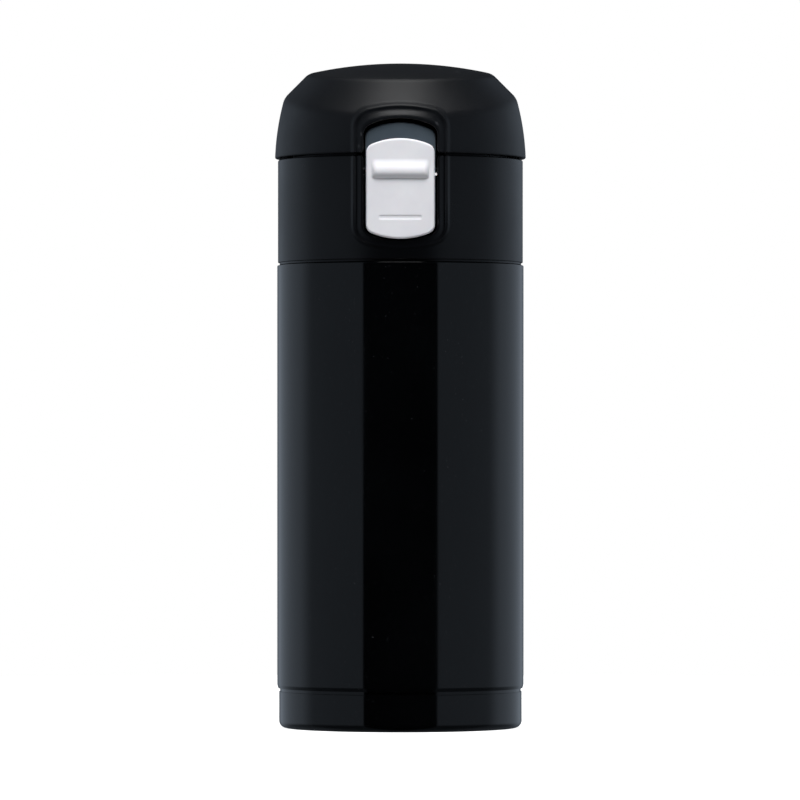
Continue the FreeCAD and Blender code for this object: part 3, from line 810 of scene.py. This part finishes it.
class MaterialNodes(Nodes):
    """The nodes of a new material."""

    def __init__(self, name):
        self.material = bpy.data.materials.new(name)
        super().__init__(self.material)
        self.shader = self.tree.nodes["Principled BSDF"]
        self.place = self.add("ShaderNodeTexCoord").outputs["Object"]

    def noise(self, size_mm, detail=2.0, stretch=(1, 1, 1)):
        """Noise whose grains are about size_mm across."""
        mapping = self.add("ShaderNodeMapping")
        mapping.inputs["Scale"].default_value = stretch
        self.link(self.place, mapping.inputs["Vector"])
        noise = self.add("ShaderNodeTexNoise")
        noise.inputs["Scale"].default_value = 1 / (size_mm * MM)
        noise.inputs["Detail"].default_value = detail
        self.link(mapping.outputs["Vector"], noise.inputs["Vector"])
        return noise.outputs["Fac"]

    def vary(self, noise, first, second):
        """A colour that a noise carries between two."""
        return self.mix(self.ramp(noise, 0, 1), first, second)

    def bump(self, height, depth_mm):
        """Relief of a given depth, in the surface's normal."""
        node = self.add("ShaderNodeBump")
        node.inputs["Distance"].default_value = depth_mm * MM
        self.link(height, node.inputs["Height"])
        return node.outputs["Normal"]

    def edges(self):
        """1 on outside edges, nought on flat ground."""
        geometry = self.add("ShaderNodeNewGeometry")
        return self.ramp(geometry.outputs["Pointiness"], 0.0, 1.0, 0.52, 0.62)

    def set(self, **values):
        """Sets the shader's inputs; a name's underscores stand for spaces."""
        for key, value in values.items():
            socket = self.shader.inputs[key.replace("_", " ")]
            if isinstance(value, bpy.types.NodeSocket):
                self.link(value, socket)
            elif isinstance(value, tuple):
                socket.default_value = (*value, 1)
            else:
                socket.default_value = value


def moulded_plastic(name, colour, wear_and_rim_highlight, rough_low, rough_high, grain_mm, grain_depth):
    """Moulded plastic with a fine spark-eroded grain, slight mottling and paler edges, which are partly wear and
    partly a painted highlight along the rims.
    """
    nodes = MaterialNodes(name)
    mottling = nodes.noise(9, 3)
    tint = tuple(c * 0.82 for c in colour)
    base = nodes.vary(mottling, tint, colour)
    # Paler edges: partly wear, partly a painted highlight along the rims.
    base = nodes.mix(nodes.ramp(nodes.edges(), 0, 0.5, 0, 1), base, wear_and_rim_highlight)
    grain = nodes.noise(grain_mm, 3)
    smudge = nodes.noise(22, 4)
    nodes.set(
        Base_Color=base,
        Roughness=nodes.ramp(smudge, rough_low, rough_high),
        Normal=nodes.bump(grain, grain_depth),
    )
    return nodes.material


def enamel():
    """Baked gloss enamel on steel: a faint orange peel, faint dust and a few soft smudges."""
    nodes = MaterialNodes("gloss_enamel")
    depth = nodes.noise(30, 2)
    base = nodes.vary(depth, (0.0006, 0.0007, 0.0009), (0.0010, 0.0012, 0.0015))
    dust = nodes.ramp(nodes.noise(0.5, 1), 0, 1, 0.74, 0.80)
    base = nodes.mix(dust, base, (0.02, 0.021, 0.023))
    peel = nodes.noise(2.4, 2)
    smudge = nodes.noise(26, 4, (1, 1, 0.6))
    nodes.set(
        Base_Color=base,
        Roughness=nodes.ramp(smudge, 0.05, 0.11),
        Normal=nodes.bump(peel, 0.0012),
        Coat_Weight=0.25,
        Coat_Roughness=0.03,
    )
    return nodes.material


def steel(name, colour, rough, stretch):
    """Drawn or ground stainless steel, its fine lines running across the stretch."""
    nodes = MaterialNodes(name)
    lines = nodes.noise(0.6, 4, stretch)
    cloud = nodes.noise(14, 3)
    pale = tuple(min(1, c * 1.25) for c in colour)
    nodes.set(
        Base_Color=nodes.vary(lines, colour, pale),
        Metallic=1.0,
        Roughness=nodes.ramp(cloud, rough * 0.8, rough * 1.25),
        Normal=nodes.bump(lines, 0.004),
    )
    return nodes.material


def copper_foil():
    """Thin creased copper foil."""
    nodes = MaterialNodes("copper_foil")
    creases = nodes.noise(6, 5)
    nodes.set(
        Base_Color=nodes.vary(creases, (0.62, 0.29, 0.17), (0.86, 0.47, 0.31)),
        Metallic=1.0,
        Roughness=nodes.ramp(nodes.noise(20, 2), 0.18, 0.34),
        Normal=nodes.bump(creases, 0.4),
    )
    return nodes.material


def soft_rubber(name, colour, rough, grain_depth, translucence):
    """Silicone or rubber with a bloom and a dusty skin."""
    nodes = MaterialNodes(name)
    bloom = nodes.noise(5, 4)
    pale = tuple(min(1, c * 1.1 + 0.005) for c in colour)
    nodes.set(
        Base_Color=nodes.vary(bloom, colour, pale),
        Roughness=nodes.ramp(nodes.noise(3, 3), rough - 0.08, rough + 0.08),
        Normal=nodes.bump(nodes.noise(0.35, 3), grain_depth),
        Subsurface_Weight=translucence,
        Subsurface_Scale=0.002,
    )
    return nodes.material


def dull_metal(name, colour):
    """Solder or a sintered pill: grey, pitted and dull."""
    nodes = MaterialNodes(name)
    pits = nodes.noise(0.4, 4)
    dark = tuple(c * 0.6 for c in colour)
    nodes.set(
        Base_Color=nodes.vary(pits, dark, colour),
        Metallic=0.8,
        Roughness=nodes.ramp(pits, 0.4, 0.7),
        Normal=nodes.bump(pits, 0.04),
    )
    return nodes.material


def white_plastic():
    """Satin white ABS: nearly smooth, a little light passing under its skin."""
    nodes = MaterialNodes("white_plastic")
    cloud = nodes.noise(7, 3)
    base = nodes.vary(cloud, (0.70, 0.70, 0.735), (0.74, 0.74, 0.77))
    nodes.set(
        Base_Color=base,
        Roughness=nodes.ramp(nodes.noise(4, 3), 0.30, 0.40),
        Normal=nodes.bump(nodes.noise(0.25, 2), 0.002),
        Subsurface_Weight=0.05,
        Subsurface_Scale=0.001,
    )
    return nodes.material


ENAMEL = enamel()
SURFACES = {
    "body_paint": ENAMEL,
    "base_paint": ENAMEL,
    "neck_steel": steel("neck_steel", (0.42, 0.42, 0.41), 0.24, (1, 1, 12)),
    "collar_plastic": moulded_plastic(
        "collar_plastic", (0.0018, 0.0020, 0.0026), (0.03, 0.031, 0.034), 0.26, 0.34, 0.22, 0.004),
    "lid_plastic": moulded_plastic(
        "lid_plastic", (0.0036, 0.0041, 0.0052), (0.035, 0.037, 0.041), 0.40, 0.50, 0.30, 0.012),
    "liner_plastic": moulded_plastic(
        "liner_plastic", (0.008, 0.0085, 0.010), (0.03, 0.03, 0.032), 0.34, 0.44, 0.25, 0.006),
    "spout_plastic": moulded_plastic(
        "spout_plastic", (0.010, 0.0105, 0.012), (0.035, 0.035, 0.037), 0.22, 0.30, 0.30, 0.003),
    # On the latch lever the pale edge colour is a painted rim highlight.
    "button_plastic": moulded_plastic(
        "button_plastic", (0.054, 0.070, 0.086), (0.50, 0.54, 0.58), 0.30, 0.38, 0.22, 0.004),
    "slide_plastic": white_plastic(),
    "silicone": soft_rubber("silicone", (0.30, 0.315, 0.33), 0.45, 0.004, 0.15),
    "pad_rubber": soft_rubber("pad_rubber", (0.016, 0.016, 0.017), 0.72, 0.02, 0.0),
    "flask_steel": steel("flask_steel", (0.52, 0.52, 0.51), 0.26, (1, 1, 14)),
    "pin_steel": steel("pin_steel", (0.045, 0.045, 0.05), 0.30, (0.1, 1, 1)),
    "spring_steel": steel("spring_steel", (0.50, 0.50, 0.51), 0.20, (1, 1, 1)),
    "copper_foil": copper_foil(),
    "solder": dull_metal("solder", (0.42, 0.42, 0.43)),
    "getter_metal": dull_metal("getter_metal", (0.26, 0.26, 0.28)),
}

# --- The latch ----------------------------------------------------------------------------------


def plate_halves(low, high):
    """The right half of a plate's barrel outline, in two runs from mid height to its tips."""
    middle = (low[2] + high[2]) / 2
    shape = dict(
        half_width=-low[0],
        drop=COLLAR_TOP - low[2],
        rise=high[2] - COLLAR_TOP,
        bow=PLATE_BOW,
        rounding=PLATE_CORNER,
    )
    shares = np.linspace(0, 1, 120)
    return half_outline(shape, True, middle, shares), half_outline(shape, False, middle, shares)


def end_height(half, x):
    """The height of a half outline's end at places across it, from where its straight side stops."""
    corner = np.flatnonzero(half[0] > half[0].max() - 1e-6)[-1]
    return np.interp(x, half[0][corner:][::-1], half[1][corner:][::-1])


def plate_grid(low, high, straight_rows, across_count):
    """A grid over a barrel outline in the front view: straight rows, and bowed rows at its ends."""
    upper, lower = plate_halves(low, high)
    turn = np.linspace(-math.pi / 2, math.pi / 2, across_count + 1)
    even = np.linspace(-1, 1, across_count + 1)
    x = -low[0] * (0.55 * np.sin(turn) + 0.45 * even)
    first, last = straight_rows[0], straight_rows[-1]
    top = np.maximum(end_height(upper, np.abs(x)), last)
    base = np.minimum(end_height(lower, np.abs(x)), first)
    ease = np.sin(np.linspace(0, math.pi / 2, 15))
    rows = [base + (first - base) * (1 - share) for share in ease[::-1][:-1]]
    rows += [np.full(x.shape, z) for z in straight_rows]
    rows += [last + (top - last) * share for share in ease[1:]]
    z = np.array(rows)
    return np.broadcast_to(x, z.shape), z, (upper, lower)


def distance_inside(x, z, halves):
    """How far points are inside an outline, given by its right halves, in the front view."""
    gaps = [np.hypot(np.abs(x) - px, z - pz) for half in halves for px, pz in zip(*half)]
    return np.min(gaps, axis=0)


def border(grid):
    """The points round a grid's edge, ending where they began."""
    return np.concatenate([grid[0], grid[1:, -1], grid[-1, ::-1][1:], grid[::-1, 0][1:]])


def wall_between(grid, other):
    """A wall from one grid's edge to the edge of another like it."""
    return rows_between(border(grid), border(other), 4)


def around_window(grid, rows, columns):
    """The four parts of a grid that lie round a window in it."""
    beside = grid[rows[0]:rows[1] + 1]
    return [
        grid[:rows[0] + 1],
        grid[rows[1]:],
        beside[:, :columns[0] + 1],
        beside[:, columns[1]:],
    ]


def curved_plate(name, x, z, halves, front, back, rounding, relief=None, window=None):
    """A plate bent to the flask's curve, with rounded front edges, relief and a window."""
    inside = distance_inside(x, z, halves)
    inside[0], inside[-1], inside[:, 0], inside[:, -1] = 0, 0, 0, 0
    near = np.clip(1 - inside / rounding, 0, 1)
    radius = front - rounding * (1 - np.sqrt(1 - near ** 2))
    if relief is not None:
        radius = radius + relief(x, z)
    face = on_cylinder(radius, x, z)
    rear = on_cylinder(back, x, z)
    grids = [face, rear]
    if window is not None:
        rows, columns = window
        hole = np.s_[rows[0]:rows[1] + 1, columns[0]:columns[1] + 1]
        grids = around_window(face, *window) + around_window(rear, *window)
        grids.append(wall_between(face[hole], rear[hole]))
    return make_piece(name, grids + [wall_between(face, rear)], sharp=50)


def pill_distance(x, z, half_length, low, high, rounding):
    """How far a point is outside a rounded bar in the front view."""
    dx = np.abs(x) - (half_length - rounding)
    dz = np.abs(z - (low + high) / 2) - ((high - low) / 2 - rounding)
    return np.hypot(np.maximum(dx, 0), np.maximum(dz, 0)) + np.minimum(np.maximum(dx, dz), 0) - rounding


def slide_relief(x, z):
    """The thumb bar, swelling softly from above and rolled under below, and the pressed line."""
    low, crest, high = (SLIDE_LOW[2] + up for up in (15.6, 17.5, 20.8))
    half = 7.5
    above = np.clip((z - crest) / (high - crest), 0, 1)
    below = np.clip((crest - z) / (crest - low), 0, 1)
    swell = 0.88 * (0.5 + 0.5 * np.cos(math.pi * above)) * (1 - below ** 2.4)
    sides = np.clip((half - np.abs(x)) / 1.5, 0, 1)
    line = pill_distance(x, z, 5.45, SLIDE_LOW[2] + 5.1, SLIDE_LOW[2] + 6.0, 0.3)
    return (-SLIDE_LOW[1] - LOCK_FRONT) * swell * sides * (2 - sides) - 0.15 * smooth(0.5 - line / 0.5)


def build_lock_slide():
    """The white plate with its thumb bar, and the headed stem that holds it to the lever."""
    base = SLIDE_LOW[2]
    straight = np.concatenate([
        np.linspace(base + 3.6, base + 4.8, 5)[:-1],
        np.linspace(base + 4.8, base + 6.3, 17)[:-1],
        np.linspace(base + 6.3, base + 15.5, 22)[:-1],
        np.linspace(base + 15.5, base + 22.3, 61),
    ])
    x, z, halves = plate_grid(SLIDE_LOW, SLIDE_HIGH, straight, 96)
    plate = curved_plate("lock_plate", x, z, halves, LOCK_FRONT, LOCK_BACK, 0.55, slide_relief)
    stem_top, head_front = STEM_LOW + STEM_SIZE, LEVER_BACK - 0.25
    section = rectangle(-LOCK_BACK - 0.5, 0.6 - head_front, STEM_LOW, stem_top)
    stem = side_prism("stem", section, -STEM_HALF, STEM_HALF)
    section = rectangle(-head_front, 0.8 - head_front, STEM_LOW - 0.5, stem_top + 0.5)
    head = side_prism("head", section, -2.7, 2.7)
    nib_back, nib_low = 0.1 - LOCK_BACK, base + 16.4
    nib = side_prism("nib", np.array([
        (nib_back, nib_low),
        (nib_back + 0.8, nib_low + 0.35),
        (nib_back, nib_low + 0.7),
    ]), 8.5, SLIDE_HIGH[0])
    parts = [plate, soften(stem, 0.2), soften(head, 0.2), nib]
    place(join("lock_slide_plate", parts), "lock", "lock_slide")


def build_latch_button():
    """The lever, with the slot that the lock's stem slides in, its barrel and its hook."""
    base, top = BUTTON_LOW[2], BUTTON_HIGH[2]
    slot_low, slot_high = STEM_LOW - 0.2, STEM_LOW + STEM_SIZE + LOCK_TRAVEL + 0.2
    straight = np.concatenate([
        np.linspace(base + 3.8, slot_low, 6)[:-1],
        np.linspace(slot_low, slot_high, 14)[:-1],
        np.linspace(slot_high, top - 3.8, 23),
    ])
    across = 68
    x, z, halves = plate_grid(BUTTON_LOW, BUTTON_HIGH, straight, across)
    # The slot is five columns wide to each side of the middle
    rows = np.searchsorted(z[:, across // 2], [slot_low, slot_high])
    columns = across // 2 - 5, across // 2 + 5
    plate = curved_plate(
        "lever_plate", x, z, halves, LEVER_FRONT, LEVER_BACK, 0.4, window=(rows, columns))
    barrel = bar_across("barrel", 1.7, 9.0, LATCH_PIN[1:])
    root, tip, hook_low = 0.75 - LEVER_FRONT, 3.05 - LEVER_FRONT, top - 4.6
    hook = side_prism("hook", np.array([
        (root, hook_low),
        (tip, hook_low),
        (tip, hook_low + 0.9),
        (root, hook_low + 3.6),
    ]), -5.0, 5.0)
    parts = [plate, soften(barrel, 0.25), soften(hook, 0.25)]
    place(join("latch_lever", parts), "latch", "latch_button")


# --- The springs, between the bodies that they join ---------------------------------------------


def wire_along(name, path, axis, radius):
    """A round wire along a path that winds about an axis."""
    along = unit(np.gradient(path, axis=0))
    side = unit(np.cross(along, axis))
    over = np.cross(side, along)
    turn = np.linspace(0, 2 * math.pi, 13)[None, :, None]
    ring = side[:, None] * np.cos(turn) + over[:, None] * np.sin(turn)
    skin = path[:, None] + radius * ring
    return make_piece(name, [skin], [[skin[0, :-1]], [skin[-1, :-1]]])


def winding(turns):
    """Shares of a coil's length, and the angles wound by then."""
    share = np.linspace(0, 1, turns * 36 + 1)
    return share, share * turns * 2 * math.pi


def bend_between(spring, node):
    """Dresses a spring, lets it stand in for a CAD node and bakes its placing into its mesh."""
    dress(spring, node)
    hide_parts(node)
    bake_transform(spring)


def build_hinge_spring():
    """A torsion spring round the hinge pin: one leg down in the collar, one leg up in the lid."""
    coil, wire, leg = 1.6, 0.3, 5.6
    half = SPRING_LENGTH / 2
    share, angle = winding(7)
    wound = np.stack([
        SPRING_LENGTH * share - half,
        HINGE[1] - coil * np.cos(angle),
        HINGE[2] + coil * np.sin(angle),
    ], axis=-1)
    straight = np.linspace(leg, 0.4, 8)[:, None] * np.array([0, 0, 1])
    path = np.vstack([wound[0] - straight, wound, wound[-1] + straight[::-1]])
    spring = wire_along("hinge_spring_wire", path, np.array([1.0, 0, 0]), wire)
    bend_between(spring, "hinge_spring")


def build_latch_spring():
    """A small compression spring between the back of the recess and the lever."""
    low, high = box_mm("latch_spring")
    wire = 0.25
    coil = (high[0] - low[0]) / 2 - wire
    middle = (low[2] + high[2]) / 2
    share, angle = winding(3)
    path = np.stack([
        coil * np.cos(angle),
        high[1] - wire + (low[1] - high[1] + 2 * wire) * share,
        middle + coil * np.sin(angle),
    ], axis=-1)
    spring = wire_along("latch_spring_wire", path, np.array([0, 1.0, 0]), wire)
    bend_between(spring, "latch_spring")


# --- Carried-over CAD nodes ---------------------------------------------------------------------


def dress_cad_nodes():
    """Gives each CAD node its material."""
    for node, obj in frame["nodes"].items():
        obj.data.materials.clear()
        obj.data.materials.append(SURFACES[SLOTS[node]])
        shade(obj.data, 30)


# --- The studio ---------------------------------------------------------------------------------

# How far round from the front the black goes, and how bright the room is beyond it
BLACK_AHEAD = math.radians(34)
SIDE_LIGHT = 0.19
BACK_LIGHT = 0.38


def build_floor():
    """A round white table, a little paler to the camera so that it meets the white room unseen."""
    nodes = MaterialNodes("paper_floor")
    grain = nodes.noise(0.8, 3)
    nodes.set(
        Base_Color=nodes.vary(grain, (0.42, 0.42, 0.42), (0.46, 0.46, 0.46)),
        Roughness=0.9,
        Specular_IOR_Level=0.1,
    )
    bright = nodes.add("ShaderNodeEmission")
    path = nodes.add("ShaderNodeLightPath")
    both = nodes.add("ShaderNodeAddShader")
    mix = nodes.add("ShaderNodeMixShader")
    nodes.link(nodes.shader.outputs[0], both.inputs[0])
    nodes.link(bright.outputs[0], both.inputs[1])
    nodes.link(path.outputs["Is Camera Ray"], mix.inputs[0])
    nodes.link(nodes.shader.outputs[0], mix.inputs[1])
    nodes.link(both.outputs[0], mix.inputs[2])
    nodes.link(mix.outputs[0], nodes.tree.nodes["Material Output"].inputs["Surface"])
    turn = np.linspace(0, 2 * math.pi, 97)
    rings = np.array([0.0, 60.0, 400.0])[:, None]
    grid = np.stack([rings * np.cos(turn), rings * np.sin(turn), 0 * rings + 0 * turn], axis=-1)
    floor = make_piece("floor", [grid])
    floor.data.materials.append(nodes.material)
    floor.visible_glossy = False


class RoomNodes(Nodes):
    """The room's brightness, worked out from the way that light comes."""

    def __init__(self, world):
        super().__init__(world)
        split = self.add("ShaderNodeSeparateXYZ")
        self.link(self.add("ShaderNodeTexCoord").outputs["Generated"], split.inputs[0])
        self.x, self.y, self.up = split.outputs

    def work_out(self, operation, *values):
        """A sum on numbers and sockets."""
        node = self.add("ShaderNodeMath", operation=operation)
        for socket, value in zip(node.inputs, values):
            if isinstance(value, bpy.types.NodeSocket):
                self.link(value, socket)
            else:
                socket.default_value = value
        return node.outputs[0]

    def times(self, first, second):
        """Two values multiplied."""
        return self.work_out("MULTIPLY", first, second)

    def soft_ramp(self, value, start, end, low=0.0, high=1.0):
        """A value carried smoothly from one range to another."""
        result = self.ramp(value, low, high, start, end)
        result.node.interpolation_type = "SMOOTHSTEP"
        return result


def build_world():
    """White to the camera. To the flask it is a grey room, black ahead and paler at the back corners."""
    world = bpy.data.worlds.new("studio")
    room = RoomNodes(world)
    squares = room.work_out("ADD", room.times(room.x, room.x), room.times(room.y, room.y))
    level = room.work_out("SQRT", squares)
    behind = room.work_out("DIVIDE", room.y, room.work_out("MAXIMUM", level, 1e-4))
    ahead = -math.cos(BLACK_AHEAD)
    sides = room.soft_ramp(behind, ahead, ahead + 0.02, 0.0, SIDE_LIGHT)
    corners = room.soft_ramp(behind, -0.02, 0.34, 0.0, BACK_LIGHT - SIDE_LIGHT)
    walls = room.work_out("ADD", sides, corners)
    walls = room.times(walls, room.soft_ramp(room.up, 0.2, 0.8, 1.0, 0.03))
    walls = room.times(walls, room.soft_ramp(room.up, -0.4, -0.05, 0.25, 1.0))
    level_gap = room.soft_ramp(behind, 0.90, 0.985, 0.0, 0.55)
    high_gap = room.times(
        room.soft_ramp(behind, 0.88, 0.97), room.soft_ramp(room.up, 0.03, 0.2, 0.0, 0.9))
    gap = room.work_out("MAXIMUM", level_gap, high_gap)
    grey = room.times(walls, room.work_out("SUBTRACT", 1.0, gap))
    tint = room.mix(grey, (0, 0, 0), (0.86, 1.0, 1.18))
    to_camera = room.add("ShaderNodeLightPath").outputs["Is Camera Ray"]
    seen = room.mix(to_camera, tint, (1, 1, 1))
    room.link(seen, room.tree.nodes["Background"].inputs["Color"])
    bpy.context.scene.world = world


def softbox(name, centre, target, width, height, power, mirrored=True):
    """A rectangular area light aimed at a point, sizes in metres."""
    light = bpy.data.lights.new(name, "AREA")
    light.shape = "RECTANGLE"
    light.size = width
    light.size_y = height
    light.energy = power
    lamp = put(name, light)
    lamp.location = centre
    aim = Vector(target) - Vector(centre)
    lamp.rotation_euler = aim.to_track_quat("-Z", "Y").to_euler()
    lamp.visible_glossy = mirrored


def build_lights():
    """A key from high in front, too diffuse to be mirrored in the black, and a narrow top light."""
    softbox("key", (0, -0.52, 1.0), (0, 0, 0.14), 0.5, 0.4, 16.0, mirrored=False)
    softbox("overhead", (0, -0.05, 0.95), (0, 0, 0.15), 0.36, 0.5, 1.9)


def build_camera():
    """Level, 1.6 m away with a long lens, its eye a little below the flask's middle."""
    camera = bpy.data.cameras.new("camera")
    camera.sensor_width = 36.0
    camera.lens = 272.8
    camera.shift_x = -0.0005
    camera.shift_y = 0.0817
    camera.clip_end = 50.0
    eye = put("camera", camera)
    eye.location = (0.0, -1.6, 0.0692)
    eye.rotation_euler = (math.pi / 2, 0, 0)
    bpy.context.scene.camera = eye


dress_cad_nodes()
build_outer_shell()
build_base_cup()
build_collar()
build_lid()
build_lock_slide()
build_latch_button()
build_hinge_spring()
build_latch_spring()
build_floor()
build_world()
build_lights()
build_camera()
bpy.context.scene.view_settings.view_transform = "Standard"
